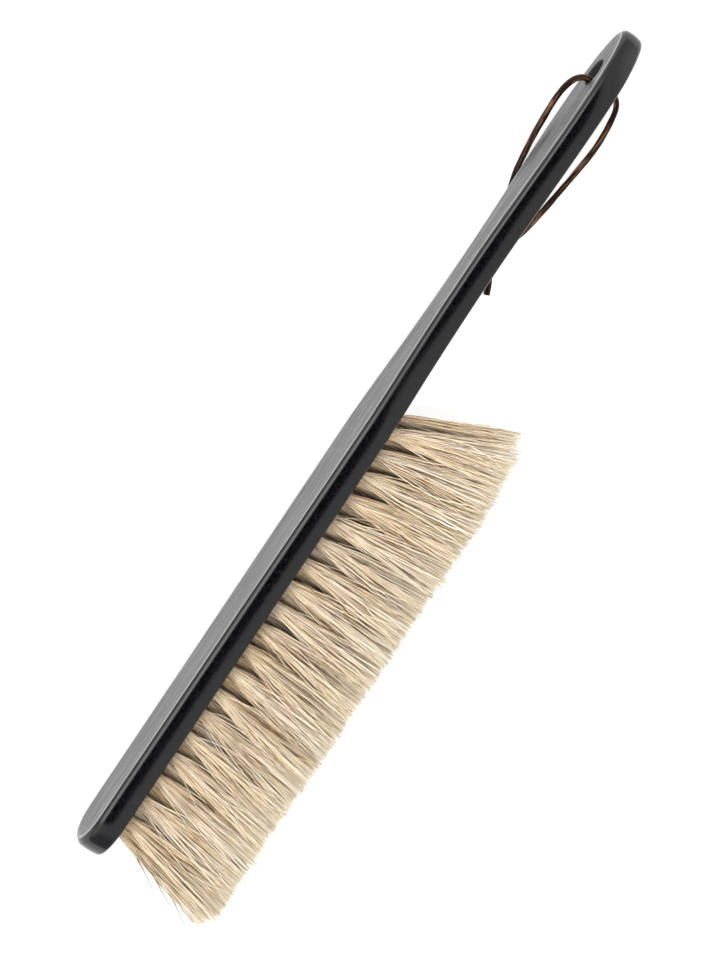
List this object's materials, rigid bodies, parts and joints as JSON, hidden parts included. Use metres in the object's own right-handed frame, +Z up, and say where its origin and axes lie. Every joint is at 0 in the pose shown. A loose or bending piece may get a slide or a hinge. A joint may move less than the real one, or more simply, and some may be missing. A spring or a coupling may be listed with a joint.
{
  "type": "pastry brush",
  "caption": "Long narrow bench brush: a thin stained wooden plank with rounded edges, rows of light hair tufts under its paddle half, and a leather hanging thong through a round hole.",
  "frame": {"origin": "on the table under the middle of the brush's own footprint, with the brush lying on its side and its thong left out", "axes": "+X along the brush from the toe to the hanging end, +Y out of the back face (the hair points to -Y), +Z up, across the width of the plank"},
  "size_m": [0.33, 0.0577, 0.0284],
  "materials": {
    "stained_wood": "black stain under a thin satin coat, fine lengthwise grain",
    "hair": "natural light hair, dull to satin",
    "drawing_wire": "bright drawn wire",
    "thong_leather": "dark brown, waxed"
  },
  "bodies": {
    "brush": {"back_board": "stained_wood", "tuft_board": "stained_wood", "front_tuft_row": "hair", "centre_tuft_row": "hair", "rear_tuft_row": "hair", "front_wire": "drawing_wire", "centre_wire": "drawing_wire", "rear_wire": "drawing_wire"},
    "loop": {"thong_back_stretch": "thong_leather", "thong_sole_stretch": "thong_leather", "thong_knot": "thong_leather"}
  },
  "joints": [
    {"name": "loop_swing", "type": "hinge", "parent": "brush", "child": "loop", "pos_m": [0.147, 0.02175, 0.0142], "axis": [0, 1, 0], "range_deg": [-316, 0]}
  ]
}
